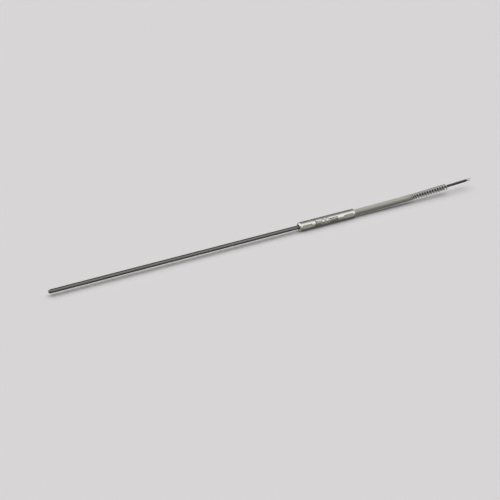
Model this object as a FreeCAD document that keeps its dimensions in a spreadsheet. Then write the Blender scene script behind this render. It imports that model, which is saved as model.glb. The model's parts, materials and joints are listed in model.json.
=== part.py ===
"""Cable temperature probe: a mineral-insulated sheath and its thermocouple, a crimped and potted
transition sleeve, an anti-kink spring, and a two-core cable that ends in bare leads.

Millimetres. +X runs from the sheath's tip to the cable's end, +Z is up. The origin is the middle
of the transition sleeve, on its axis. The probe lies level, so the sleeve's underside is its
lowest line, and all its wires lie in the upright XZ plane.
"""
import FreeCAD, Part
import math
import os
import re
import Sketcher

Vector = FreeCAD.Vector

SIZES = (
    ("sheath_od", 3.0, "outside diameter of the sheath"),
    ("sheath_wall", 0.45, "wall of the sheath"),
    ("sheath_free", 205.0, "length of the sheath in front of the sleeve, tip included"),
    ("sheath_seat", 13.0, "length of the sheath inside the sleeve"),
    ("sheath_grind", 0.2, "depth ground off the sheath where the bush is brazed on"),
    ("cap_spigot", 1.0, "how far the welded end cap reaches into the sheath"),
    ("wire_od", 0.5, "diameter of a thermocouple wire"),
    ("wire_inset", 0.1, "how far inside the junction's edge the two wires end"),
    ("bead_cover", 0.2, "magnesia between the welded junction and the sheath"),
    ("bead_setback", 0.25, "magnesia between the end cap and the welded junction"),
    ("seal_depth", 1.0, "how far the end seal reaches into the sheath"),
    ("seal_flange", 1.5, "thickness of the end seal behind the sheath"),
    ("wire_lead_out", 1.6, "how far behind the seal the thermocouple wires begin to part"),
    ("wire_spread", 3.4, "length over which they part to reach their splices"),
    ("fit_gap", 0.02, "radial clearance of what fits inside something else"),
    ("sleeve_od", 7.0, "outside diameter of the transition sleeve"),
    ("sleeve_length", 50.0, "length of the transition sleeve"),
    ("sleeve_wall", 0.9, "wall of the sleeve round its main bore, open at the cable's end"),
    ("front_bore_length", 12.0, "length of the narrower bore around the sheath"),
    ("front_chamfer", 0.9, "bevel of the sleeve's front edge"),
    ("rear_chamfer", 0.6, "bevel of the sleeve's rear edge"),
    ("crimp_margin", 2.3, "distance from each end of the sleeve to its crimp"),
    ("crimp_length", 8.0, "length of a crimped flat"),
    ("crimp_depth", 0.28, "depth of a crimped flat below the round"),
    ("crimp_runout", 0.4, "length over which a flat climbs back to the round"),
    ("crimp_flats", 4.0, "number of flats round each crimp"),
    ("crimp_turn", 78.0, "angle from upright, in degrees, of the first flat"),
    ("bush_recess", 1.8, "distance from the sleeve's front face to the bush"),
    ("bush_length", 10.0, "length of the bush between sheath and sleeve"),
    ("bush_wall", 0.66, "wall of that bush"),
    ("braze_length", 0.4, "length of the braze fillet along the sheath"),
    ("braze_width", 0.35, "width of the braze fillet on the bush's face"),
    ("splice_gap", 0.46, "resin between the two splices"),
    ("ferrule_wall", 0.38, "wall of a splice ferrule round the thermocouple wire"),
    ("ferrule_length", 6.0, "length of a splice ferrule"),
    ("tubing_wall", 0.25, "wall of the insulating tube over a splice"),
    ("tubing_length", 9.0, "length of the insulating tube over a splice"),
    ("strand_od", 0.46, "diameter of a core's stranded conductor"),
    ("core_od", 0.7, "diameter of an insulated core"),
    ("core_gap", 0.06, "space between the two cores in the cable"),
    ("core_lead_in", 4.7, "how far in front of the jacket the cores lie side by side"),
    ("jacket_od", 2.0, "outside diameter of the cable"),
    ("jacket_gap", 0.03, "space between the cores and the cable's jacket"),
    ("spring_gap", 0.1, "radial clearance of the anti-kink spring in the sleeve"),
    ("spring_wire", 1.0, "diameter of the spring's wire"),
    ("spring_seat", 11.0, "length of the spring inside the sleeve"),
    ("spring_free", 88.0, "length of the spring behind the sleeve"),
    ("support_margin", 1.0, "distance from the sleeve's rear face to the support ferrule"),
    ("support_length", 9.5, "length of the support ferrule inside the spring"),
    ("lead_straight", 0.6, "how far each core leaves the jacket before it turns outwards"),
    ("lead_bend", 1.3, "length over which each core moves outwards"),
    ("lead_splay", 0.42, "how far each lead stands away from its place in the cable"),
    ("lead_bare", 2.4, "length of bare conductor beyond its insulation"),
)

# The cable's route, from inside the sleeve to the jacket's end: distances behind the sleeve's
# rear face, and heights above its axis. It leaves straight, then rises a little.
CABLE_ROUTE = ((-13.0, 0.0), (17.0, 0.0), (48.0, 0.43), (79.0, 1.77), (108.0, 3.15))
ARC_SHARE = 0.45             # part of the shorter run that an arc takes at a corner
SHORTEST_EDGE = 1e-6         # a stretch shorter than this is left out of a path
VOLUME_TOLERANCE = 0.005     # how far a swept volume may be from section times length

doc = FreeCAD.newDocument("cable_temperature_probe")
sheet = doc.addObject("Spreadsheet::Sheet", "Sizes")
for row, (alias, number, note) in enumerate(SIZES, start=1):
    sheet.set(f"A{row}", alias)
    sheet.set(f"B{row}", str(number))
    sheet.set(f"C{row}", note)
    sheet.setAlias(f"B{row}", alias)
doc.recompute()

parts = []


def bound(text):
    """An expression of the sheet's names, as other objects read it."""
    return re.sub(r"[a-z_]+", lambda name: "Sizes." + name.group(), text)


def value(text):
    """The number that an expression of the sheet's names gives."""
    return float(sheet.evalExpression(text))


SLEEVE_FRONT = "(-sleeve_length / 2)"
SLEEVE_REAR = "(sleeve_length / 2)"
TIP = f"({SLEEVE_FRONT} - sheath_free)"
DOME_END = f"({TIP} + sheath_od / 2)"
SHEATH_REAR = f"({SLEEVE_FRONT} + sheath_seat)"
PARTING = f"({SHEATH_REAR} + seal_flange + wire_lead_out)"
TUBING_FRONT = f"({PARTING} + wire_spread)"
SPLICE_CENTRE = f"({TUBING_FRONT} + tubing_length / 2)"
# radii, and distances from the axis
SHEATH_BORE = "(sheath_od / 2 - sheath_wall)"
SHEATH_SEAT = "(sheath_od / 2 - sheath_grind)"
BEAD = f"({SHEATH_BORE} - bead_cover)"
BEAD_CENTRE = f"({DOME_END} + cap_spigot + bead_setback + {BEAD})"
WIRE_OFFSET = f"({BEAD} - wire_inset - wire_od / 2)"
FRONT_BORE = f"({SHEATH_SEAT} + bush_wall + 2 * fit_gap)"
SLEEVE_BORE = "(sleeve_od / 2 - sleeve_wall)"
FERRULE = "(wire_od / 2 + fit_gap + ferrule_wall)"
TUBING = f"({FERRULE} + fit_gap + tubing_wall)"
SPLICE_OFFSET = f"({TUBING} + splice_gap / 2)"
CORE_OFFSET = "(core_od / 2 + core_gap / 2)"
JACKET_BORE = f"({CORE_OFFSET} + core_od / 2 + jacket_gap)"
SPRING = f"({SLEEVE_BORE} - spring_gap)"


def keep(item, label):
    """Name an object as a sub-part of the probe."""
    item.Label = label
    parts.append(item)
    return item


def place(item, x_place, z_place="0", turn=None):
    """Put an object on the probe's axis, at a place bound to the sheet."""
    if turn:
        item.Placement = FreeCAD.Placement(Vector(), turn)
    item.setExpression(".Placement.Base.x", bound(x_place))
    if z_place != "0":
        item.setExpression(".Placement.Base.z", bound(z_place))
    return item


def turned(name, outline):
    """A turned piece: a closed outline of (x, radius) corners, revolved about the X axis."""
    body = doc.addObject("PartDesign::Body", name)
    sketch = body.newObject("Sketcher::SketchObject", name + "_outline")
    sketch.AttachmentSupport = (origin_feature(body, "XZ_Plane"), [""])
    sketch.MapMode = "FlatFace"
    draw(sketch, outline)
    revolved = body.newObject("PartDesign::Revolution", name + "_turned")
    revolved.Profile = sketch
    revolved.ReferenceAxis = (sketch, ["H_Axis"])
    revolved.Angle = 360
    return body


def origin_feature(body, role):
    """One of a body's own origin planes or axes."""
    return next(item for item in body.Origin.OriginFeatures if item.Role == role)


def draw(sketch, outline):
    """Add a closed outline to a sketch, with each corner's place bound to the sheet."""
    corners = [Vector(value(x_text), value(y_text), 0) for x_text, y_text in outline]
    first = sketch.GeometryCount
    for start, end in zip(corners, corners[1:] + corners[:1]):
        sketch.addGeometry(Part.LineSegment(start, end), False)
    for index, (corner, texts) in enumerate(zip(corners, outline)):
        line = first + index
        after = first + (index + 1) % len(corners)
        sketch.addConstraint(Sketcher.Constraint("Coincident", line, 2, after, 1))
        hold(sketch, line, "DistanceX", texts[0], corner.x, -2)
        hold(sketch, line, "DistanceY", texts[1], corner.y, -1)


def hold(sketch, line, kind, text, number, axis):
    """Hold a line's start at a bound distance from the origin, or on the axis itself."""
    if text == "0":
        sketch.addConstraint(Sketcher.Constraint("PointOnObject", line, 1, axis))
        return
    index = sketch.addConstraint(Sketcher.Constraint(kind, -1, 1, line, 1, number))
    sketch.setExpression(f"Constraints[{index}]", bound(text))


def ring(name, length, inner, outer):
    """A plain turned tube."""
    return turned(name, (("0", inner), ("0", outer), (length, outer), (length, inner)))


def solid(kind, name, **sizes):
    """A primitive whose sizes are bound to the sheet."""
    item = doc.addObject(kind, name)
    for size, text in sizes.items():
        item.setExpression(size, bound(text))
    return item


def rod(name, x_place, z_place, radius, length):
    """A cylinder along X, from a bound place."""
    item = solid("Part::Cylinder", name, Radius=radius, Height=length)
    return place(item, x_place, z_place, Z_TO_X)


def cut(name, base, *tools):
    """One solid less one or more others."""
    item = doc.addObject("Part::Cut", name)
    item.Base = base
    item.Tool = tools[0] if len(tools) == 1 else fused(name + "_tools", *tools)
    return item


def fused(name, *pieces):
    """Several solids made one."""
    item = doc.addObject("Part::MultiFuse", name)
    item.Shapes = list(pieces)
    return item


def path(points, told=None):
    """The edges of a route: straight runs joined by tangent arcs, as large as the runs allow."""
    edges = []
    leave = points[0]
    for before, corner, after in zip(points, points[1:], points[2:]):
        inward = (corner - before).normalize()
        outward = (after - corner).normalize()
        half_turn = inward.getAngle(outward) / 2
        reach = ARC_SHARE * min((corner - before).Length, (after - corner).Length)
        radius = reach / math.tan(half_turn)
        arc_start = corner - inward * reach
        arc_end = corner + outward * reach
        arc_middle = corner + (outward - inward).normalize() * (radius / math.cos(half_turn) - radius)
        edges.append(Part.LineSegment(leave, arc_start).toShape())
        edges.append(Part.Arc(arc_start, arc_middle, arc_end).toShape())
        leave = arc_end
        if told:
            print(f"{told}: arc radius {radius:.1f} mm at x {corner.x:.1f}")
    edges.append(Part.LineSegment(leave, points[-1]).toShape())
    return edges


def stretch(edges, start, end):
    """The stretch of a path between two distances along it."""
    kept = []
    passed = 0.0
    for edge in edges:
        first = max(start - passed, 0.0)
        last = min(end - passed, edge.Length)
        if last - first > SHORTEST_EDGE:
            ends = (edge.getParameterByLength(first), edge.getParameterByLength(last))
            kept.append(Part.Edge(edge.Curve, *ends))
        passed += edge.Length
    return kept


def length_of(edges):
    """The length of a path."""
    return sum(edge.Length for edge in edges)


def swept(edges, radius, bore=0.0):
    """A round solid along a path, with a bore if one is given."""
    start = edges[0].valueAt(edges[0].FirstParameter)
    heading = edges[0].tangentAt(edges[0].FirstParameter)
    spine = Part.Wire(edges)

    def along(section_radius):
        section = Part.Wire(Part.Circle(start, heading, section_radius).toShape())
        return spine.makePipeShell([section], True, False)

    shape = along(radius).cut(along(bore)) if bore else along(radius)
    expected = math.pi * (radius ** 2 - bore ** 2) * length_of(edges)
    if abs(shape.Volume / expected - 1) > VOLUME_TOLERANCE:
        raise RuntimeError(f"a swept solid has {shape.Volume:.2f} mm3, not {expected:.2f} mm3")
    return shape


def shaped(name, shape):
    """A feature that holds a swept shape, already in its place."""
    item = doc.addObject("Part::Feature", name)
    item.Shape = shape
    item.Placement = FreeCAD.Placement()
    return item


def beside(points, distance):
    """A route that runs beside another one in the XZ plane, above it if distance is positive."""
    shifted = []
    for index, point in enumerate(points):
        before = points[max(index - 1, 0)]
        after = points[min(index + 1, len(points) - 1)]
        along = (after - before).normalize()
        shifted.append(point + Vector(-along.z, 0, along.x) * distance)
    return shifted


X_AXIS = Vector(1, 0, 0)
Z_TO_X = FreeCAD.Rotation(Vector(0, 1, 0), 90)
SIDES = (("positive", 1), ("negative", -1))


# ---- the mineral-insulated sheath and what it holds ----

def sheath_tube():
    """The drawn tube, from the end of the domed tip, ground thinner inside the sleeve."""
    free = "sheath_free - sheath_od / 2"
    whole = f"{free} + sheath_seat"
    tube = turned("sheath_tube", (
        ("0", SHEATH_BORE),
        ("0", "sheath_od / 2"),
        (free, "sheath_od / 2"),
        (free, SHEATH_SEAT),
        (whole, SHEATH_SEAT),
        (whole, SHEATH_BORE),
    ))
    return place(tube, DOME_END)


def end_cap():
    """The welded tip: a half ball, with a spigot inside the sheath."""
    dome = solid("Part::Sphere", "end_cap_dome", Radius="sheath_od / 2")
    dome.Angle1 = -90
    dome.Angle2 = 0
    place(dome, DOME_END, "0", Z_TO_X)
    spigot = rod("end_cap_spigot", DOME_END, "0", f"{SHEATH_BORE} - fit_gap", "cap_spigot")
    return fused("end_cap", dome, spigot)


def magnesia_fill():
    """The pressed magnesia, with a bore for each wire and a pocket for the junction."""
    start = f"{DOME_END} + cap_spigot + fit_gap"
    length = f"{SHEATH_REAR} - seal_depth - fit_gap - ({start})"
    core = rod("magnesia_core", start, "0", f"{SHEATH_BORE} - fit_gap", length)
    pocket = solid("Part::Sphere", "magnesia_pocket", Radius=f"{BEAD} + fit_gap")
    place(pocket, BEAD_CENTRE)
    bores = [
        rod(f"magnesia_bore_{name}", BEAD_CENTRE, f"{side} * {WIRE_OFFSET}",
            "wire_od / 2 + fit_gap", f"{SHEATH_REAR} - {BEAD_CENTRE}")
        for name, side in SIDES
    ]
    return cut("magnesia_fill", core, pocket, *bores)


def measuring_junction():
    """The welded bead in which the two wires meet, with the two wires' ends let into it."""
    bead = place(solid("Part::Sphere", "junction_bead", Radius=BEAD), BEAD_CENTRE)
    sockets = [
        rod(f"junction_socket_{name}", BEAD_CENTRE, f"{side} * {WIRE_OFFSET}",
            "wire_od / 2 + fit_gap / 2", f"2 * {BEAD}")
        for name, side in SIDES
    ]
    return cut("measuring_junction", bead, *sockets)


def thermocouple_route(side):
    """One wire, from the junction through the sheath and out to the middle of its splice."""
    inner = side * value(WIRE_OFFSET)
    outer = side * value(SPLICE_OFFSET)
    return [
        Vector(value(f"{BEAD_CENTRE} + fit_gap"), 0, inner),
        Vector(value(PARTING), 0, inner),
        Vector(value(TUBING_FRONT), 0, outer),
        Vector(value(f"{SPLICE_CENTRE} - fit_gap"), 0, outer),
    ]


def thermocouple_wire(name, side):
    """A solid wire that follows its route."""
    shape = swept(path(thermocouple_route(side)), value("wire_od / 2"))
    return shaped(f"thermocouple_wire_{name}", shape)


def sheath_end_seal():
    """The seal that keeps damp out of the magnesia, with a hole for each wire."""
    spigot = rod("seal_spigot", f"{SHEATH_REAR} - seal_depth", "0",
                 f"{SHEATH_BORE} - fit_gap", "seal_depth + seal_flange")
    flange = rod("seal_flange_disc", SHEATH_REAR, "0", SHEATH_SEAT, "seal_flange")
    holes = [
        rod(f"seal_hole_{name}", f"{SHEATH_REAR} - seal_depth", f"{side} * {WIRE_OFFSET}",
            "wire_od / 2 + fit_gap", "seal_depth + seal_flange")
        for name, side in SIDES
    ]
    return cut("sheath_end_seal", fused("seal_blank", spigot, flange), *holes)


# ---- the transition sleeve and what it holds ----

def transition_sleeve():
    """The turned sleeve, bevelled at both ends and crimped to flats near both ends."""
    body = turned("transition_sleeve", (
        ("0", FRONT_BORE),
        ("0", "sleeve_od / 2 - front_chamfer"),
        ("front_chamfer", "sleeve_od / 2"),
        ("sleeve_length - rear_chamfer", "sleeve_od / 2"),
        ("sleeve_length", "sleeve_od / 2 - rear_chamfer"),
        ("sleeve_length", SLEEVE_BORE),
        ("front_bore_length", SLEEVE_BORE),
        ("front_bore_length", FRONT_BORE),
    ))
    flats = body.newObject("Sketcher::SketchObject", "crimp_outline")
    flats.AttachmentSupport = (origin_feature(body, "XZ_Plane"), [""])
    flats.MapMode = "FlatFace"
    flat = "sleeve_od / 2 - crimp_depth"
    clear = "sleeve_od / 2 + crimp_depth"
    for start in ("crimp_margin", "sleeve_length - crimp_margin - crimp_length"):
        draw(flats, (
            (start, flat),
            (f"{start} + crimp_length", flat),
            (f"{start} + crimp_length + 2 * crimp_runout", clear),
            (f"{start} - 2 * crimp_runout", clear),
        ))
    crimp = body.newObject("PartDesign::Pocket", "crimp")
    crimp.Profile = flats
    crimp.Midplane = True
    crimp.setExpression("Length", bound("2 * sleeve_od"))
    pattern = body.newObject("PartDesign::PolarPattern", "crimp_pattern")
    pattern.Originals = [crimp]
    pattern.Axis = (origin_feature(body, "X_Axis"), [""])
    pattern.Angle = 360
    pattern.setExpression("Occurrences", bound("crimp_flats"))
    body.Tip = pattern
    body.Placement = FreeCAD.Placement(Vector(), FreeCAD.Rotation(X_AXIS, value("crimp_turn")))
    body.setExpression(".Placement.Rotation.Angle", bound("crimp_turn"))
    return place(body, SLEEVE_FRONT)


def front_bush():
    """The bush that fills the gap between the sheath and the sleeve's front bore."""
    inner = f"{SHEATH_SEAT} + fit_gap"
    bush = ring("front_bush", "bush_length", inner, f"{FRONT_BORE} - fit_gap")
    return place(bush, f"{SLEEVE_FRONT} + bush_recess")


def braze_fillet():
    """The fillet of braze between the sheath and the bush's front face."""
    fillet = turned("braze_fillet", (
        ("0", SHEATH_SEAT),
        ("braze_length", f"{SHEATH_SEAT} + braze_width"),
        ("braze_length", SHEATH_SEAT),
    ))
    return place(fillet, f"{SLEEVE_FRONT} + bush_recess - braze_length")


def splice_ferrule(name, side):
    """The crimped tube that joins a thermocouple wire to its core's conductor, bored to fit each."""
    middle = "ferrule_length / 2"
    ferrule = turned(f"splice_ferrule_{name}", (
        ("0", "wire_od / 2 + fit_gap"),
        ("0", FERRULE),
        ("ferrule_length", FERRULE),
        ("ferrule_length", "strand_od / 2 + fit_gap"),
        (middle, "strand_od / 2 + fit_gap"),
        (middle, "wire_od / 2 + fit_gap"),
    ))
    return place(ferrule, f"{SPLICE_CENTRE} - ferrule_length / 2", f"{side} * {SPLICE_OFFSET}")


def splice_tubing(name, side):
    """The insulating tube pushed over a splice."""
    tubing = ring(f"splice_tubing_{name}", "tubing_length", f"{FERRULE} + fit_gap", TUBING)
    return place(tubing, TUBING_FRONT, f"{side} * {SPLICE_OFFSET}")


def support_ferrule():
    """The ferrule inside the spring's first turns, which the rear crimp closes on."""
    inner = "jacket_od / 2 + fit_gap"
    outer = f"{SPRING} - spring_wire - fit_gap"
    ferrule = ring("support_ferrule", "support_length", inner, outer)
    return place(ferrule, f"{SLEEVE_REAR} - support_margin - support_length")


# ---- the cable, its cores and the spring round it ----

CABLE_POINTS = [Vector(value(SLEEVE_REAR) + distance, 0, height) for distance, height in CABLE_ROUTE]
CABLE_PATH = path(CABLE_POINTS, "cable")


def core_route(side):
    """One core, from its splice, through the cable, to the end of its bare lead."""
    outer = side * value(SPLICE_OFFSET)
    splay = side * value("lead_splay")
    in_cable = beside(CABLE_POINTS, side * value(CORE_OFFSET))
    heading = (CABLE_POINTS[-1] - CABLE_POINTS[-2]).normalize()
    across = Vector(-heading.z, 0, heading.x)
    meet = in_cable[0] - Vector(value("core_lead_in"), 0, 0)
    leave = in_cable[-1] + heading * value("lead_straight")
    bend = leave + heading * value("lead_bend") + across * splay
    return [
        Vector(value(f"{SPLICE_CENTRE} + fit_gap"), 0, outer),
        Vector(value(f"{TUBING_FRONT} + tubing_length"), 0, outer),
        meet,
        *in_cable[1:-1],
        leave,
        bend,
        bend + heading * value("lead_bare"),
    ]


def strand(name, side):
    """A core's conductor, bare in its splice and beyond its insulation."""
    shape = swept(path(core_route(side), f"strand_{name}"), value("strand_od / 2"))
    return shaped(f"strand_{name}", shape)


def core_insulation(name, side):
    """The insulation of a core, stripped back at both ends."""
    edges = path(core_route(side))
    stripped_front = value("tubing_length / 2 + fit_gap")
    stripped = stretch(edges, stripped_front, length_of(edges) - value("lead_bare"))
    shape = swept(stripped, value("core_od / 2"), value("strand_od / 2 + fit_gap"))
    return shaped(f"core_insulation_{name}", shape)


def cable_jacket():
    """The cable's jacket, a tube round the two cores."""
    shape = swept(CABLE_PATH, value("jacket_od / 2"), value(JACKET_BORE))
    return shaped("cable_jacket", shape)


def anti_kink_spring():
    """The close-wound spring, as a tube of its outer and inner diameters."""
    mouth = -CABLE_ROUTE[0][0]
    edges = stretch(CABLE_PATH, mouth - value("spring_seat"), mouth + value("spring_free"))
    shape = swept(edges, value(SPRING), value(f"{SPRING} - spring_wire"))
    return shaped("anti_kink_spring", shape)


def potting_compound():
    """The resin that fills the sleeve from the sheath's end to the cable's start."""
    start = f"{SLEEVE_FRONT} + front_bore_length + fit_gap"
    gap = value("fit_gap")
    length = f"{SLEEVE_REAR} - spring_seat - fit_gap - ({start})"
    resin = rod("resin", start, "0", f"{SLEEVE_BORE} - fit_gap", length)
    sheath_end = Vector(value(SLEEVE_FRONT), 0, 0)
    tubing_radius = value(TUBING) + gap
    held = [
        pocket(sheath_end, value(SHEATH_SEAT) + gap, value("sheath_seat + seal_flange") + gap),
        pocket(CABLE_POINTS[0], value("jacket_od / 2") + gap, value("sleeve_length")),
    ]
    for name, side in SIDES:
        front = Vector(value(TUBING_FRONT) - gap, 0, side * value(SPLICE_OFFSET))
        held.append(pocket(front, tubing_radius, value("tubing_length") + 2 * gap))
        held.append(swept(path(thermocouple_route(side)), value("wire_od / 2") + gap))
        held.append(swept(path(core_route(side)), value("core_od / 2") + gap))
    pockets = shaped("resin_pockets", held[0].multiFuse(held[1:]))
    return cut("potting_compound", resin, pockets)


def pocket(start, radius, length):
    """The round space along X that something held in the resin takes."""
    return Part.makeCylinder(radius, length, start, X_AXIS)


keep(sheath_tube(), "sheath_tube")
keep(end_cap(), "end_cap")
keep(magnesia_fill(), "magnesia_fill")
keep(measuring_junction(), "measuring_junction")
keep(sheath_end_seal(), "sheath_end_seal")
keep(transition_sleeve(), "transition_sleeve")
keep(front_bush(), "front_bush")
keep(braze_fillet(), "braze_fillet")
keep(support_ferrule(), "support_ferrule")
keep(potting_compound(), "potting_compound")
keep(anti_kink_spring(), "anti_kink_spring")
keep(cable_jacket(), "cable_jacket")
for polarity, side in SIDES:
    keep(thermocouple_wire(polarity, side), f"thermocouple_wire_{polarity}")
    keep(splice_ferrule(polarity, side), f"splice_ferrule_{polarity}")
    keep(splice_tubing(polarity, side), f"splice_tubing_{polarity}")
    keep(core_insulation(polarity, side), f"core_insulation_{polarity}")
    keep(strand(polarity, side), f"strand_{polarity}")

doc.recompute()

for item in doc.Objects:
    if {"Invalid", "Error"} & set(item.State):
        raise RuntimeError(f"{item.Label} failed: {item.State}")
for part in parts:
    if part.Shape.isNull() or not part.Shape.isValid() or part.Shape.Volume <= 0:
        raise RuntimeError(f"{part.Label} has no valid solid")

turned_volume = doc.getObject("transition_sleeve_turned").Shape.Volume
sleeve_volume = doc.getObject("transition_sleeve").Shape.Volume
if not sleeve_volume < turned_volume:
    raise RuntimeError("the crimps cut nothing from the sleeve")

os.makedirs("parts", exist_ok=True)
for part in parts:
    part.Shape.exportStep(f"parts/{part.Label}.step")
    print(f"{part.Label}: {part.Shape.Volume:.2f} mm3, {len(part.Shape.Solids)} solid(s)")
print(f"cable length {length_of(CABLE_PATH):.1f} mm")
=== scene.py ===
"""The look of a cable temperature probe that lies on a plain pale table.

Metres, +X from the sheath's tip to the cable's end, +Z up, origin in the middle of the sleeve.
"""
import json
import math

import bpy
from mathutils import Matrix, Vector


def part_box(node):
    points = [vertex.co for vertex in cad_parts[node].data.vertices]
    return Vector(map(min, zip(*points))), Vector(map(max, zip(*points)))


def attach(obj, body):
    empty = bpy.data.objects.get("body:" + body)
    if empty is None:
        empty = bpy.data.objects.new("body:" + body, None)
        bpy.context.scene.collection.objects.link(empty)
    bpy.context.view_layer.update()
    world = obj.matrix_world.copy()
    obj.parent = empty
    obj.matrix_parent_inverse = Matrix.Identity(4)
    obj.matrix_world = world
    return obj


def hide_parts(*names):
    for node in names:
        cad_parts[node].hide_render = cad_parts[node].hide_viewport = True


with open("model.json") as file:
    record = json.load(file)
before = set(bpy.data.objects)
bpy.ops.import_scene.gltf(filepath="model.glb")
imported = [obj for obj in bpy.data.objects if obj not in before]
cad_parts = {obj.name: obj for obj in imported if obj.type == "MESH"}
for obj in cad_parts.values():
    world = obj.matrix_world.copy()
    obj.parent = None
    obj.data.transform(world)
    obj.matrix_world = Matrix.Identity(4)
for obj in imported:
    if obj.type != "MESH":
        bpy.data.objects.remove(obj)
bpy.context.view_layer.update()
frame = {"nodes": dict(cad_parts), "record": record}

MM = 0.001

sleeve_low, sleeve_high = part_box("transition_sleeve")
SLEEVE_FRONT = sleeve_low.x
SLEEVE_RADIUS = sleeve_high.z
TABLE_HEIGHT = sleeve_low.z

# The cable, as its drawing gives it
CABLE_ROUTE_MM = (
    (12.0, 0.0, 0.0), (42.0, 0.0, 0.0), (73.0, 0.0, 0.43), (104.0, 0.0, 1.77), (133.0, 0.0, 3.15),
)
CABLE_DIAMETER = 2.0 * MM
JACKET_WALL = 0.24 * MM
JACKET_SIDES = 40
SPLINE_STEPS = 48

# The two cores, side by side in the cable, then parted at its end
SPLICE_CENTRE_MM = -0.98
SPLICE_OFFSET_MM = 1.15
TUBING_REAR_MM = 3.5
CORES_MEET_MM = 7.3
CORE_OFFSET_MM = 0.38
LEAD_STRAIGHT_MM = 0.6
LEAD_BEND_MM = 1.3
LEAD_SPLAY_MM = 0.42
LEAD_BARE_MM = 2.4
STRAND_DIAMETER = 0.46 * MM
STRAND_LAY = 5.5 * MM
STRAND_STEP = 0.4 * MM
STRAND_SIDES = 8
OUTER_WIRES = 6

# The spring: close turns at the sleeve, which open towards the cable's end
SPRING_START = 2.0 * MM
SPRING_LENGTH = 99.0 * MM
SPRING_DIAMETER = 5.0 * MM
SPRING_WIRE = 1.0 * MM
CLOSE_PITCH = 1.06 * MM
OPEN_PITCH = 2.45 * MM               # wide enough for single turns to show from the camera
CLOSE_LENGTH = 62.0 * MM
OPENING_LENGTH = 8.0 * MM
STEPS_PER_TURN = 36
SPRING_SIDES = 12

# The etched marks on the sleeve: a line round it, two blocks of ticks, and two diamonds between them
MARK_LINE = SLEEVE_FRONT + 13.9 * MM
MARK_LINE_WIDTH = 0.5 * MM
TICK_BLOCKS = (("front", 16.4 * MM, 3.9 * MM, 6), ("rear", 30.2 * MM, 6.6 * MM, 10))
TICK_HEIGHT = 1.05 * MM
TICK_WIDTH = 0.66 * MM
TICK_ROWS = 3
TICK_ROW_GAP = 1.25 * MM
TICK_ANGLE = math.radians(75.0)      # the middle of the rows, from upright towards the front
DIAMOND_PLACES = (20.6 * MM, 24.4 * MM)
DIAMOND_REACH = 1.75 * MM
DIAMOND_STROKE = 0.48 * MM
DIAMOND_ANGLE = math.radians(58.0)
MARK_PROUD = 0.006 * MM
MARK_DEPTH = 0.030 * MM
TICK_SEED = 4                        # for the small differences between the ticks

# The camera: where it stands, as seen from the sleeve's middle
CAMERA_AZIMUTH = math.radians(-29.0)
CAMERA_ELEVATION = math.radians(28.25)
CAMERA_DISTANCE = 1.116
FOCAL_SHARE = 2.886          # focal length, as a share of the picture's width
SLEEVE_RIGHT = 0.1523        # the sleeve's middle, right of the picture's centre, share of its width
SLEEVE_UP = 0.0600           # and above it

# The light's strength by direction: degrees from upright towards the front, then its share of the brightest
LIGHT_BY_ANGLE = (
    (-180, 0.04), (-90, 0.13), (-25, 0.22), (33, 1.0), (60, 0.96), (100, 0.28), (140, 0.20), (180, 0.08),
)
LIGHT_STRENGTH = 1.50
LIGHT_LEAN = 60.0                   # how far the light leans back on the tip's side, degrees
LEAN_START = 0.32                   # the share of +X in a direction where that lean starts
LEAN_FULL = 0.05                    # and where it is full
LIGHT_WALL = 0.15                   # the share of light from the tent's wall on that side
LAMP_LEAN = 13.0                    # how far behind upright the lamp stands, degrees
LAMP_WIDTH = 100.0                  # how wide it looks from the table, degrees
LAMP_STRENGTH = 3.26

TABLE_REACH = 12.0                  # from the middle of the table to its edge, metres

# The middle range of a noise pattern, over which a finish goes from one tone to the other
GRAIN_LOW = 0.3
GRAIN_HIGH = 0.7


# ---- colours and nodes ----

def linear(hex_colour):
    """A colour written in sRGB, as the linear RGBA that shaders take."""
    channels = [int(hex_colour[at:at + 2], 16) / 255 for at in (1, 3, 5)]
    return (*(c / 12.92 if c <= 0.04045 else ((c + 0.055) / 1.055) ** 2.4 for c in channels), 1)


def add(tree, kind, inputs=None, **settings):
    """A new node with its settings, values and links; a node given as an input links its first output."""
    made = tree.nodes.new(kind)
    for name, setting in settings.items():
        setattr(made, name, setting)
    for socket, given in (inputs or {}).items():
        if isinstance(given, bpy.types.Node):
            tree.links.new(given.outputs[0], made.inputs[socket])
        elif isinstance(given, bpy.types.NodeSocket):
            tree.links.new(given, made.inputs[socket])
        else:
            made.inputs[socket].default_value = given
    return made


# ---- the camera ----

def place_camera():
    """A long lens that looks down along the probe, with the sleeve right of the middle."""
    azimuth, elevation = CAMERA_AZIMUTH, CAMERA_ELEVATION
    level = math.cos(elevation)
    back = Vector((math.sin(azimuth) * level, -math.cos(azimuth) * level, math.sin(elevation)))
    right = (-back).cross(Vector((0, 0, 1))).normalized()
    up = right.cross(-back)
    lens = bpy.data.cameras.new("camera")
    lens.lens = FOCAL_SHARE * lens.sensor_width
    lens.clip_start = 0.05
    lens.clip_end = 60
    camera = bpy.data.objects.new("camera", lens)
    reach = CAMERA_DISTANCE / FOCAL_SHARE
    camera.location = back * CAMERA_DISTANCE - right * SLEEVE_RIGHT * reach - up * SLEEVE_UP * reach
    camera.rotation_mode = "QUATERNION"
    camera.rotation_quaternion = (-back).to_track_quat("-Z", "Y")
    bpy.context.scene.collection.objects.link(camera)
    bpy.context.scene.camera = camera


# ---- routes ----

def spline_along(name, points_mm):
    """A smooth NURBS curve object through a route's control points."""
    curve = bpy.data.curves.new(name, "CURVE")
    curve.dimensions = "3D"
    curve.resolution_u = SPLINE_STEPS
    spline = curve.splines.new("NURBS")
    spline.points.add(len(points_mm) - 1)
    for point, place_mm in zip(spline.points, points_mm):
        point.co = (*(c * MM for c in place_mm), 1)
    spline.order_u = 3
    spline.use_endpoint_u = True
    route = bpy.data.objects.new(name, curve)
    bpy.context.scene.collection.objects.link(route)
    return route


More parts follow.
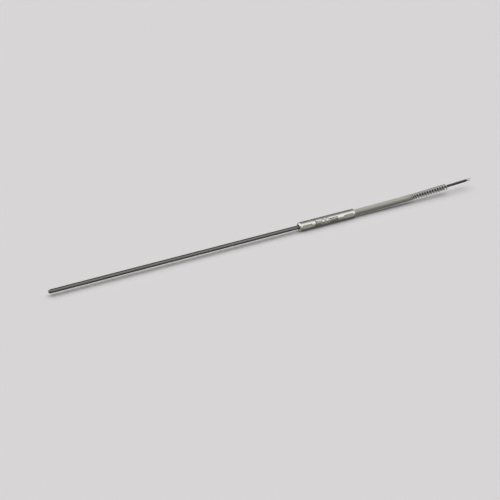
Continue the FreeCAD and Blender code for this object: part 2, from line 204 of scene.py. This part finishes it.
def plain_mesh(source, name):
    """The finished mesh of an object, as a new object in its place; the source is removed."""
    bpy.context.view_layer.update()
    graph = bpy.context.evaluated_depsgraph_get()
    mesh = bpy.data.meshes.new_from_object(source.evaluated_get(graph), depsgraph=graph)
    mesh.name = name
    made = bpy.data.objects.new(name, mesh)
    bpy.context.scene.collection.objects.link(made)
    bpy.data.objects.remove(source)
    return made


def core_route_mm(side):
    """One core, from its splice to the end of its bare lead; side is 1 for the upper one."""
    cable = [Vector(point) for point in CABLE_ROUTE_MM]
    heading = (cable[-1] - cable[-2]).normalized()
    across = Vector((-heading.z, 0, heading.x))
    beside = []
    for index, point in enumerate(cable):
        along = cable[min(index + 1, len(cable) - 1)] - cable[max(index - 1, 0)]
        along.normalize()
        beside.append(point + Vector((-along.z, 0, along.x)) * side * CORE_OFFSET_MM)
    leave = beside[-1] + heading * LEAD_STRAIGHT_MM
    bend = leave + heading * LEAD_BEND_MM + across * side * LEAD_SPLAY_MM
    return [
        Vector((SPLICE_CENTRE_MM, 0, side * SPLICE_OFFSET_MM)),
        Vector((TUBING_REAR_MM, 0, side * SPLICE_OFFSET_MM)),
        Vector((CORES_MEET_MM, 0, side * CORE_OFFSET_MM)),
        *beside[1:-1],
        leave,
        bend,
        bend + heading * LEAD_BARE_MM,
    ]


# ---- Geometry Nodes ----

def grown(line, name, tree, material, **sizes):
    """A piece that a node tree makes along a line; its sizes are the tree's named inputs."""
    modifier = line.modifiers.new("grow", "NODES")
    modifier.node_group = tree
    for socket in tree.interface.items_tree:
        if socket.in_out == "INPUT" and socket.name in sizes:
            modifier[socket.identifier] = sizes[socket.name]
        if socket.in_out == "INPUT" and socket.name == "Material":
            modifier[socket.identifier] = material
    return plain_mesh(line, name)


def new_tree(name, inputs):
    """An empty geometry tree with named inputs; returns the tree and its input node."""
    tree = bpy.data.node_groups.new(name, "GeometryNodeTree")
    tree.interface.new_socket("Geometry", in_out="OUTPUT", socket_type="NodeSocketGeometry")
    tree.interface.new_socket("Geometry", in_out="INPUT", socket_type="NodeSocketGeometry")
    for label, kind in inputs:
        tree.interface.new_socket(label, in_out="INPUT", socket_type="NodeSocket" + kind)
    return tree, tree.nodes.new("NodeGroupInput").outputs


def finish_tree(tree, geometry, material, smoothed=True):
    """Close a tree: single pieces, smooth or flat faces, one material."""
    smooth = add(tree, "GeometryNodeSetShadeSmooth", {"Geometry": geometry, "Shade Smooth": smoothed})
    real = add(tree, "GeometryNodeRealizeInstances", {"Geometry": smooth})
    painted = add(tree, "GeometryNodeSetMaterial", {"Geometry": real, "Material": material})
    add(tree, "NodeGroupOutput", {"Geometry": painted})


def spring_tree():
    """A wound wire round a line: an even pitch first, then one that opens turn by turn."""
    tree, given = new_tree("wound_spring", (
        ("Wire Diameter", "Float"), ("Coil Diameter", "Float"), ("Start", "Float"),
        ("Close Pitch", "Float"), ("Close Turns", "Float"), ("Opening", "Float"),
        ("Opening Turns", "Float"), ("Turns", "Float"), ("Steps per Turn", "Int"), ("Sides", "Int"),
        ("Material", "Material"),
    ))
    # one point for each step of the winding
    whole = add(tree, "ShaderNodeMath", {0: given["Turns"], 1: given["Steps per Turn"]},
                operation="MULTIPLY")
    count = add(tree, "ShaderNodeMath", {0: whole, 1: 1.0}, operation="ADD")
    blank = add(tree, "GeometryNodeCurvePrimitiveLine")
    steps = add(tree, "GeometryNodeResampleCurve", {"Curve": blank, "Count": count})
    index = add(tree, "GeometryNodeInputIndex")
    turn = add(tree, "ShaderNodeMath", {0: index, 1: given["Steps per Turn"]}, operation="DIVIDE")

    # how far along the line each turn has come, in close pitches: even, then growing, then evenly open
    closed = add(tree, "ShaderNodeMath", {0: turn, 1: given["Close Turns"]}, operation="MINIMUM")
    past = add(tree, "ShaderNodeMath", {0: turn, 1: given["Close Turns"]}, operation="SUBTRACT")
    opened = add(tree, "ShaderNodeMath", {0: past, 1: 0.0}, operation="MAXIMUM")
    opening = add(tree, "ShaderNodeMath", {0: opened, 1: given["Opening Turns"]}, operation="MINIMUM")
    power = add(tree, "ShaderNodeMath", {0: opening, 1: given["Opening"]}, operation="MULTIPLY")
    growth = add(tree, "ShaderNodeMath", {0: power}, operation="EXPONENT")
    grown_by = add(tree, "ShaderNodeMath", {0: growth, 1: 1.0}, operation="SUBTRACT")
    stretched = add(tree, "ShaderNodeMath", {0: grown_by, 1: given["Opening"]}, operation="DIVIDE")
    rest = add(tree, "ShaderNodeMath", {0: opened, 1: opening}, operation="SUBTRACT")
    evenly = add(tree, "ShaderNodeMath", {0: rest, 1: growth}, operation="MULTIPLY")
    begun = add(tree, "ShaderNodeMath", {0: closed, 1: stretched}, operation="ADD")
    pitches = add(tree, "ShaderNodeMath", {0: begun, 1: evenly}, operation="ADD")
    advance = add(tree, "ShaderNodeMath", {0: pitches, 1: given["Close Pitch"]}, operation="MULTIPLY")
    along = add(tree, "ShaderNodeMath", {0: advance, 1: given["Start"]}, operation="ADD")

    # round the line, square to it
    line = add(tree, "GeometryNodeMeshToCurve", {"Mesh": given["Geometry"]})
    at = add(tree, "GeometryNodeSampleCurve", {"Curves": line, "Length": along}, mode="LENGTH")
    binormal = add(tree, "ShaderNodeVectorMath", {0: at.outputs["Tangent"], 1: at.outputs["Normal"]},
                   operation="CROSS_PRODUCT")
    angle = add(tree, "ShaderNodeMath", {0: turn, 1: math.tau}, operation="MULTIPLY")
    across = add(tree, "ShaderNodeMath", {0: given["Coil Diameter"], 1: given["Wire Diameter"]},
                 operation="SUBTRACT")
    reach = add(tree, "ShaderNodeMath", {0: across, 1: 0.5}, operation="MULTIPLY")
    parts = []
    for way, direction in (("COSINE", at.outputs["Normal"]), ("SINE", binormal)):
        swing = add(tree, "ShaderNodeMath", {0: angle}, operation=way)
        share = add(tree, "ShaderNodeMath", {0: swing, 1: reach}, operation="MULTIPLY")
        parts.append(add(tree, "ShaderNodeVectorMath", {0: direction, "Scale": share}, operation="SCALE"))
    offset = add(tree, "ShaderNodeVectorMath", {0: parts[0], 1: parts[1]}, operation="ADD")
    place = add(tree, "ShaderNodeVectorMath", {0: at.outputs["Position"], 1: offset}, operation="ADD")
    wound = add(tree, "GeometryNodeSetPosition", {"Geometry": steps, "Position": place})
    half = add(tree, "ShaderNodeMath", {0: given["Wire Diameter"], 1: 0.5}, operation="MULTIPLY")
    ring = add(tree, "GeometryNodeCurvePrimitiveCircle", {"Resolution": given["Sides"], "Radius": half})
    wire = add(tree, "GeometryNodeCurveToMesh", {"Curve": wound, "Profile Curve": ring, "Fill Caps": True})
    finish_tree(tree, wire, given["Material"])
    return tree


def strand_tree():
    """A stranded conductor on a line: fine wires laid round a middle one."""
    tree, given = new_tree("stranded_conductor", (
        ("Wire Diameter", "Float"), ("Lay", "Float"), ("Step", "Float"), ("Outer Wires", "Int"),
        ("Sides", "Int"), ("Material", "Material"),
    ))
    line = add(tree, "GeometryNodeMeshToCurve", {"Mesh": given["Geometry"]})
    even = add(tree, "GeometryNodeResampleCurve", {"Curve": line, "Length": given["Step"]}, mode="LENGTH")
    wires = add(tree, "ShaderNodeMath", {0: given["Outer Wires"], 1: 1.0}, operation="ADD")
    copies = add(tree, "GeometryNodeDuplicateElements", {"Geometry": even, "Amount": wires}, domain="SPLINE")

    # the last copy stays in the middle; the others are spread round it and twist as they go
    number = copies.outputs["Duplicate Index"]
    outer = add(tree, "ShaderNodeMath", {0: number, 1: given["Outer Wires"]}, operation="LESS_THAN")
    reach = add(tree, "ShaderNodeMath", {0: given["Wire Diameter"], 1: outer}, operation="MULTIPLY")
    length = add(tree, "GeometryNodeSplineParameter").outputs["Length"]
    lays = add(tree, "ShaderNodeMath", {0: length, 1: given["Lay"]}, operation="DIVIDE")
    twist = add(tree, "ShaderNodeMath", {0: lays, 1: math.tau}, operation="MULTIPLY")
    part = add(tree, "ShaderNodeMath", {0: number, 1: given["Outer Wires"]}, operation="DIVIDE")
    share = add(tree, "ShaderNodeMath", {0: part, 1: math.tau}, operation="MULTIPLY")
    angle = add(tree, "ShaderNodeMath", {0: twist, 1: share}, operation="ADD")
    normal = add(tree, "GeometryNodeInputNormal").outputs[0]
    tangent = add(tree, "GeometryNodeInputTangent")
    binormal = add(tree, "ShaderNodeVectorMath", {0: tangent, 1: normal}, operation="CROSS_PRODUCT")
    parts = []
    for way, direction in (("COSINE", normal), ("SINE", binormal)):
        swing = add(tree, "ShaderNodeMath", {0: angle}, operation=way)
        shift = add(tree, "ShaderNodeMath", {0: swing, 1: reach}, operation="MULTIPLY")
        parts.append(add(tree, "ShaderNodeVectorMath", {0: direction, "Scale": shift}, operation="SCALE"))
    offset = add(tree, "ShaderNodeVectorMath", {0: parts[0], 1: parts[1]}, operation="ADD")
    laid = add(tree, "GeometryNodeSetPosition", {"Geometry": copies, "Offset": offset})
    half = add(tree, "ShaderNodeMath", {0: given["Wire Diameter"], 1: 0.5}, operation="MULTIPLY")
    ring = add(tree, "GeometryNodeCurvePrimitiveCircle", {"Resolution": given["Sides"], "Radius": half})
    wire = add(tree, "GeometryNodeCurveToMesh", {"Curve": laid, "Profile Curve": ring, "Fill Caps": True})
    finish_tree(tree, wire, given["Material"])
    return tree


def marks_tree():
    """Ticks and diamonds, laid out flat and wrapped round the sleeve, and a line right round it."""
    tree, given = new_tree("etched_marks", (
        ("Radius", "Float"), ("Proud", "Float"), ("Depth", "Float"),
        ("Line Place", "Float"), ("Line Width", "Float"),
        ("Tick Height", "Float"), ("Tick Width", "Float"), ("Rows", "Int"), ("Row Gap", "Float"),
        ("Tick Angle", "Float"),
        ("Front Middle", "Float"), ("Front Length", "Float"), ("Front Ticks", "Int"),
        ("Rear Middle", "Float"), ("Rear Length", "Float"), ("Rear Ticks", "Int"),
        ("Diamond Reach", "Float"), ("Diamond Stroke", "Float"), ("Seed", "Int"), ("Material", "Material"),
    ))
    # ticks, in rows and columns with small differences, laid flat
    size = add(tree, "ShaderNodeCombineXYZ",
               {"X": given["Tick Width"], "Y": given["Tick Height"], "Z": given["Depth"]})
    plate = add(tree, "GeometryNodeMeshCube", {"Size": size, "Vertices Y": 6})
    gaps = add(tree, "ShaderNodeMath", {0: given["Rows"], 1: 1.0}, operation="SUBTRACT")
    reach = add(tree, "ShaderNodeMath", {0: gaps, 1: given["Row Gap"]}, operation="MULTIPLY")
    arc = add(tree, "ShaderNodeMath", {0: given["Tick Angle"], 1: given["Radius"]}, operation="MULTIPLY")
    flat = add(tree, "GeometryNodeJoinGeometry")
    for end in ("Front", "Rear"):
        block = add(tree, "GeometryNodeMeshGrid", {
            "Size X": given[f"{end} Length"], "Size Y": reach,
            "Vertices X": given[f"{end} Ticks"], "Vertices Y": given["Rows"],
        })
        middle = add(tree, "ShaderNodeCombineXYZ", {"X": given[f"{end} Middle"], "Y": arc})
        placed = add(tree, "GeometryNodeTransform", {"Geometry": block, "Translation": middle})
        share = add(tree, "FunctionNodeRandomValue",
                    {"Min": (0.60, 0.75, 1.0), "Max": (1.10, 1.0, 1.0), "Seed": given["Seed"]},
                    data_type="FLOAT_VECTOR")
        ticks = add(tree, "GeometryNodeInstanceOnPoints",
                    {"Points": placed, "Instance": plate, "Scale": share})
        single = add(tree, "GeometryNodeRealizeInstances", {"Geometry": ticks})
        tree.links.new(single.outputs[0], flat.inputs[0])

    # diamonds: a square outline on its corner, with a stroke as deep as the ticks
    outline = add(tree, "GeometryNodeCurvePrimitiveCircle",
                  {"Resolution": 4, "Radius": given["Diamond Reach"]})
    bent = add(tree, "GeometryNodeResampleCurve", {"Curve": outline, "Count": 40})
    level = add(tree, "GeometryNodeSetCurveNormal", {"Curve": bent}, mode="Z_UP")
    stroke = add(tree, "GeometryNodeCurvePrimitiveQuadrilateral",
                 {"Width": given["Diamond Stroke"], "Height": given["Depth"]})
    diamond = add(tree, "GeometryNodeCurveToMesh", {"Curve": level, "Profile Curve": stroke})
    diamonds = add(tree, "GeometryNodeInstanceOnPoints", {"Points": given["Geometry"], "Instance": diamond})
    single = add(tree, "GeometryNodeRealizeInstances", {"Geometry": diamonds})
    tree.links.new(single.outputs[0], flat.inputs[0])

    # wrap the flat layout round the sleeve: its Y becomes the way round, which turns the faces inward
    flat_place = add(tree, "GeometryNodeInputPosition")
    place = add(tree, "ShaderNodeSeparateXYZ", {"Vector": flat_place}).outputs
    angle = add(tree, "ShaderNodeMath", {0: place["Y"], 1: given["Radius"]}, operation="DIVIDE")
    half = add(tree, "ShaderNodeMath", {0: given["Depth"], 1: 0.5}, operation="MULTIPLY")
    sunk = add(tree, "ShaderNodeMath", {0: given["Proud"], 1: half}, operation="SUBTRACT")
    base = add(tree, "ShaderNodeMath", {0: given["Radius"], 1: sunk}, operation="ADD")
    out = add(tree, "ShaderNodeMath", {0: base, 1: place["Z"]}, operation="ADD")
    sine = add(tree, "ShaderNodeMath", {0: angle}, operation="SINE")
    cosine = add(tree, "ShaderNodeMath", {0: angle}, operation="COSINE")
    back = add(tree, "ShaderNodeMath", {0: sine, 1: out}, operation="MULTIPLY")
    front = add(tree, "ShaderNodeMath", {0: back, 1: -1.0}, operation="MULTIPLY")
    up = add(tree, "ShaderNodeMath", {0: cosine, 1: out}, operation="MULTIPLY")
    round_it = add(tree, "ShaderNodeCombineXYZ", {"X": place["X"], "Y": front, "Z": up})
    wrapped = add(tree, "GeometryNodeSetPosition", {"Geometry": flat, "Position": round_it})
    outward = add(tree, "GeometryNodeFlipFaces", {"Mesh": wrapped})

    # the line right round the sleeve
    hoop = add(tree, "GeometryNodeCurvePrimitiveCircle", {"Resolution": 120, "Radius": base})
    band = add(tree, "GeometryNodeCurvePrimitiveQuadrilateral",
               {"Width": given["Depth"], "Height": given["Line Width"]})
    ring = add(tree, "GeometryNodeCurveToMesh", {"Curve": hoop, "Profile Curve": band})
    at_line = add(tree, "ShaderNodeCombineXYZ", {"X": given["Line Place"]})
    turned = add(tree, "GeometryNodeTransform",
                 {"Geometry": ring, "Translation": at_line, "Rotation": (0, math.radians(90), 0)})
    both = add(tree, "GeometryNodeJoinGeometry", {0: outward})
    tree.links.new(turned.outputs[0], both.inputs[0])
    finish_tree(tree, both, given["Material"], smoothed=False)
    return tree


# ---- materials ----

def new_material(name):
    """An empty material; returns it and its tree, with an output."""
    material = bpy.data.materials.new(name)
    material.use_nodes = True
    material.node_tree.nodes.clear()
    return material, material.node_tree


def close_material(tree, inputs):
    """End a material in its shader, with these values and links."""
    shader = add(tree, "ShaderNodeBsdfPrincipled", inputs)
    add(tree, "ShaderNodeOutputMaterial", {"Surface": shader})


def stock_material(name, dark, light, metallic, roughness, grain_mm, bump_mm, ior=1.5):
    """A finish whose tone, gloss and relief all follow one grain, of this size in mm along X, Y and Z."""
    material, tree = new_material(name)
    place = add(tree, "ShaderNodeTexCoord").outputs["Object"]
    scaled = add(tree, "ShaderNodeMapping", {"Vector": place, "Scale": [1 / (s * MM) for s in grain_mm]})
    grain = add(tree, "ShaderNodeTexNoise",
                {"Vector": scaled, "Scale": 1.0, "Detail": 3.0, "Roughness": 0.55})
    tone = add(tree, "ShaderNodeValToRGB", {"Fac": grain})
    ends = ((GRAIN_LOW, dark), (GRAIN_HIGH, light))
    for stop, (at, colour) in zip(tone.color_ramp.elements, ends):
        stop.position = at
        stop.color = linear(colour)
    gloss = add(tree, "ShaderNodeMapRange", {
        "Value": grain, "From Min": GRAIN_LOW, "From Max": GRAIN_HIGH,
        "To Min": roughness[0], "To Max": roughness[1],
    })
    relief = add(tree, "ShaderNodeBump", {"Height": grain, "Distance": bump_mm * MM, "Strength": 1.0})
    close_material(tree, {
        "Base Color": tone, "Metallic": metallic, "Roughness": gloss, "IOR": ior, "Normal": relief,
    })
    return material


MATERIALS = {
    # bright-drawn and annealed stainless steel: grey, with fine streaks along its length
    "drawn_sheath_steel": stock_material(
        "drawn_sheath_steel", "#5e5e5c", "#6c6c69", 1.0, (0.07, 0.12), (30.0, 0.25, 0.25), 0.001),
    # turned and polished stainless steel: bright, with fine lines round it, drawn coarser than they are
    # so that they show
    "turned_sleeve_steel": stock_material(
        "turned_sleeve_steel", "#bcbbb6", "#cdccc8", 1.0, (0.16, 0.26), (0.16, 6.0, 6.0), 0.002),
    # the sleeve's steel where a laser has darkened it: dull, oxide grey
    "laser_marked_steel": stock_material(
        "laser_marked_steel", "#42413e", "#54534f", 1.0, (0.38, 0.52), (0.12, 0.12, 0.12), 0.002),
    # drawn stainless spring wire: satin, a little darker than the sleeve
    "spring_steel_wire": stock_material(
        "spring_steel_wire", "#a4a39d", "#bab9b3", 1.0, (0.30, 0.44), (0.20, 0.20, 0.20), 0.002),
    # machined stainless steel, left as it came off the lathe
    "bush_steel": stock_material(
        "bush_steel", "#8c8b87", "#a3a29d", 1.0, (0.30, 0.42), (0.15, 4.0, 4.0), 0.003),
    # silver brazing alloy, frozen as it flowed: pale yellow-white, slightly rippled
    "silver_braze": stock_material(
        "silver_braze", "#b5ad96", "#cfc8b2", 1.0, (0.22, 0.36), (0.5, 0.5, 0.5), 0.010),
    # magnesium oxide powder, pressed hard: white and chalky
    "pressed_magnesia": stock_material(
        "pressed_magnesia", "#e2dfd6", "#efece4", 0.0, (0.85, 0.95), (0.10, 0.10, 0.10), 0.010, 1.74),
    # fused nickel alloy: dull grey, with a skin of oxide
    "junction_weld": stock_material(
        "junction_weld", "#5c5953", "#7a766e", 1.0, (0.40, 0.60), (0.25, 0.25, 0.25), 0.010),
    # nickel-chromium thermocouple wire: warm grey, drawn bright
    "nickel_chromium_wire": stock_material(
        "nickel_chromium_wire", "#8b8881", "#9d9a92", 1.0, (0.22, 0.34), (12.0, 0.10, 0.10), 0.002),
    # nickel-aluminium thermocouple wire: cooler and a little darker
    "nickel_aluminium_wire": stock_material(
        "nickel_aluminium_wire", "#78787a", "#8b8b8d", 1.0, (0.26, 0.38), (12.0, 0.10, 0.10), 0.002),
    # hard sealing resin, poured and cured: dark green and glossy
    "seal_resin": stock_material(
        "seal_resin", "#2f4d3c", "#3c5e4b", 0.0, (0.12, 0.22), (1.2, 1.2, 1.2), 0.006, 1.54),
    # black epoxy potting: glossy, with a faint mottle of filler
    "potting_resin": stock_material(
        "potting_resin", "#161616", "#222221", 0.0, (0.16, 0.30), (0.6, 0.6, 0.6), 0.006, 1.55),
    # tinned copper: pale grey with a warm tinge
    "ferrule_copper": stock_material(
        "ferrule_copper", "#b3aca3", "#cbc5bd", 1.0, (0.26, 0.40), (0.4, 0.4, 0.4), 0.004),
    # fluoropolymer tubing: milky and smooth
    "splice_tubing_plastic": stock_material(
        "splice_tubing_plastic", "#d6d4cc", "#e4e2db", 0.0, (0.25, 0.38), (3.0, 0.6, 0.6), 0.004, 1.35),
    # black extruded cable jacket: satin, with faint lines along it from the die
    "jacket_plastic": stock_material(
        "jacket_plastic", "#1c1c1a", "#2b2b28", 0.0, (0.38, 0.52), (8.0, 0.12, 0.12), 0.006, 1.46),
    # fluoropolymer insulation of the positive core: mid grey, smooth
    "core_plastic_positive": stock_material(
        "core_plastic_positive", "#7c7c79", "#8b8b88", 0.0, (0.28, 0.40), (4.0, 0.15, 0.15), 0.003, 1.35),
    # fluoropolymer insulation of the negative core: light grey, smooth
    "core_plastic_negative": stock_material(
        "core_plastic_negative", "#9b9b98", "#aaaaa7", 0.0, (0.28, 0.40), (4.0, 0.15, 0.15), 0.003, 1.35),
    # tinned copper strands: bright and slightly uneven from the tin
    "tinned_strand": stock_material(
        "tinned_strand", "#92918e", "#aeadaa", 1.0, (0.20, 0.34), (0.5, 0.12, 0.12), 0.003),
}


# ---- pieces ----

def settle(piece, slot, *nodes):
    """Give a new piece its body and hide the nodes it stands for; the slot is not used."""
    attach(piece, "root")
    if nodes:
        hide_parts(*nodes)
    return piece


def centreline():
    """The cable's centreline as a line mesh object, and its points."""
    line = plain_mesh(spline_along("cable_route", CABLE_ROUTE_MM), "cable_centreline")
    return line, [tuple(vertex.co) for vertex in line.data.vertices]


def jacket_tube():
    """The jacket: an extruded tube with a real wall, along the cable's spline."""
    route = spline_along("cable_route", CABLE_ROUTE_MM)
    route.data.bevel_depth = CABLE_DIAMETER / 2
    route.data.bevel_resolution = JACKET_SIDES // 4 - 2
    route.data.use_fill_caps = False
    tube = plain_mesh(route, "jacket_skin")
    wall = tube.modifiers.new("wall", "SOLIDIFY")
    wall.thickness = JACKET_WALL
    wall.offset = -1
    tube = plain_mesh(tube, "jacket")
    tube.data.materials.clear()
    tube.data.materials.append(MATERIALS["jacket_plastic"])
    tube.data.shade_smooth()
    return tube


def wound_spring(line):
    """The anti-kink spring, wound round the cable."""
    close_turns = CLOSE_LENGTH / CLOSE_PITCH
    opening = (OPEN_PITCH - CLOSE_PITCH) / OPENING_LENGTH
    opening_turns = math.log(OPEN_PITCH / CLOSE_PITCH) / opening
    open_turns = (SPRING_LENGTH - CLOSE_LENGTH - OPENING_LENGTH) / OPEN_PITCH
    return grown(line, "wound_spring", spring_tree(), MATERIALS["spring_steel_wire"], **{
        "Wire Diameter": SPRING_WIRE, "Coil Diameter": SPRING_DIAMETER, "Start": SPRING_START,
        "Close Pitch": CLOSE_PITCH, "Close Turns": close_turns, "Opening": opening,
        "Opening Turns": opening_turns, "Turns": close_turns + opening_turns + open_turns,
        "Steps per Turn": STEPS_PER_TURN, "Sides": SPRING_SIDES,
    })


def build_cable():
    """The jacket, the spring and the cores' conductors."""
    line, points = centreline()
    spring = settle(wound_spring(line), "spring_steel_wire", "anti_kink_spring")
    tree = strand_tree()
    for side, height in (("positive", 1), ("negative", -1)):
        route = plain_mesh(spline_along(f"core_route_{side}", core_route_mm(height)), f"core_line_{side}")
        strand = grown(route, f"stranded_conductor_{side}", tree, MATERIALS["tinned_strand"], **{
            "Wire Diameter": STRAND_DIAMETER / 3, "Lay": STRAND_LAY, "Step": STRAND_STEP,
            "Outer Wires": OUTER_WIRES, "Sides": STRAND_SIDES,
        })
        settle(strand, "tinned_strand", f"strand_{side}")
    jacket = settle(jacket_tube(), "jacket_plastic", "cable_jacket")


def etched_marks():
    """The marks on the sleeve: generic ticks and diamonds, with no lettering."""
    mesh = bpy.data.meshes.new("diamond_places")
    arc = DIAMOND_ANGLE * SLEEVE_RADIUS
    mesh.from_pydata([(SLEEVE_FRONT + place, arc, 0) for place in DIAMOND_PLACES], [], [])
    places = bpy.data.objects.new("diamond_places", mesh)
    bpy.context.scene.collection.objects.link(places)
    blocks = {}
    for end, middle, length, ticks in TICK_BLOCKS:
        blocks[f"{end.title()} Middle"] = SLEEVE_FRONT + middle
        blocks[f"{end.title()} Length"] = length
        blocks[f"{end.title()} Ticks"] = ticks
    marks = grown(places, "etched_marks", marks_tree(), MATERIALS["laser_marked_steel"], **blocks, **{
        "Radius": SLEEVE_RADIUS, "Proud": MARK_PROUD, "Depth": MARK_DEPTH,
        "Line Place": MARK_LINE, "Line Width": MARK_LINE_WIDTH,
        "Tick Height": TICK_HEIGHT, "Tick Width": TICK_WIDTH, "Rows": TICK_ROWS, "Row Gap": TICK_ROW_GAP,
        "Tick Angle": TICK_ANGLE, "Diamond Reach": DIAMOND_REACH, "Diamond Stroke": DIAMOND_STROKE,
        "Seed": TICK_SEED,
    })
    settle(marks, "turned_sleeve_steel")


def paint_cad_nodes():
    """Give each CAD node the material of its slot."""
    for part in frame["record"]["subparts"]:
        node = frame["nodes"][part["node"]]
        node.data.materials.clear()
        node.data.materials.append(MATERIALS[part["material_slot"]])


# ---- table and light ----

def lay_table():
    """A wide pale table top under the probe."""
    half = TABLE_REACH
    mesh = bpy.data.meshes.new("table_top")
    corners = [(-half, -half), (half, -half), (half, half), (-half, half)]
    mesh.from_pydata([(x, y, TABLE_HEIGHT) for x, y in corners], [], [(0, 1, 2, 3)])
    material, tree = new_material("table_laminate")
    close_material(tree, {"Base Color": linear("#d6d4d5"), "Roughness": 1.0, "Specular IOR Level": 0.0})
    mesh.materials.append(material)
    table = bpy.data.objects.new("table_top", mesh)
    bpy.context.scene.collection.objects.link(table)
    table.visible_glossy = False


def light_studio():
    """A light tent's roof above the probe, a dim room round it, and a soft lamp high behind."""
    world = bpy.data.worlds.new("studio")
    world.use_nodes = True
    tree = world.node_tree
    tree.nodes.clear()
    way = add(tree, "ShaderNodeTexCoord").outputs["Generated"]
    parts = add(tree, "ShaderNodeSeparateXYZ", {"Vector": way}).outputs
    towards = add(tree, "ShaderNodeMath", {0: parts["Y"], 1: -1.0}, operation="MULTIPLY")
    radians = add(tree, "ShaderNodeMath", {0: towards, 1: parts["Z"]}, operation="ARCTAN2")
    upright = add(tree, "ShaderNodeMath", {0: radians, 1: 180 / math.pi}, operation="MULTIPLY")
    lean = add(tree, "ShaderNodeMapRange", {
        "Value": parts["X"], "From Min": LEAN_START, "From Max": LEAN_FULL, "To Max": LIGHT_LEAN,
    }, interpolation_type="SMOOTHSTEP")
    leaned = add(tree, "ShaderNodeMath", {0: upright, 1: lean}, operation="ADD")
    turn = add(tree, "ShaderNodeMapRange", {"Value": leaned, "From Min": -180.0, "From Max": 180.0})
    share = add(tree, "ShaderNodeValToRGB", {"Fac": turn})
    share.color_ramp.interpolation = "EASE"
    stops = share.color_ramp.elements
    while len(stops) < len(LIGHT_BY_ANGLE):
        stops.new(1.0)
    for stop, (degrees, strength) in zip(stops, LIGHT_BY_ANGLE):
        stop.position = degrees / 360 + 0.5
        stop.color = (strength, strength, strength, 1)
    wall = add(tree, "ShaderNodeMath", {0: lean, 1: LIGHT_WALL / LIGHT_LEAN}, operation="MULTIPLY")
    whole = add(tree, "ShaderNodeMath", {0: share, 1: wall}, operation="ADD")
    strength = add(tree, "ShaderNodeMath", {0: whole, 1: LIGHT_STRENGTH}, operation="MULTIPLY")
    glow = add(tree, "ShaderNodeBackground", {"Color": linear("#fffffb"), "Strength": strength})
    add(tree, "ShaderNodeOutputWorld", {"Surface": glow})
    world.cycles_visibility.diffuse = False
    bpy.context.scene.world = world

    lamp = bpy.data.lights.new("overhead_lamp", "SUN")
    lamp.angle = math.radians(LAMP_WIDTH)
    lamp.energy = LAMP_STRENGTH
    overhead = bpy.data.objects.new("overhead_lamp", lamp)
    overhead.rotation_euler = (math.radians(-LAMP_LEAN), 0, 0)
    overhead.visible_glossy = False
    bpy.context.scene.collection.objects.link(overhead)


place_camera()
build_cable()
etched_marks()
paint_cad_nodes()
lay_table()
light_studio()
bpy.context.scene.view_settings.view_transform = "Standard"
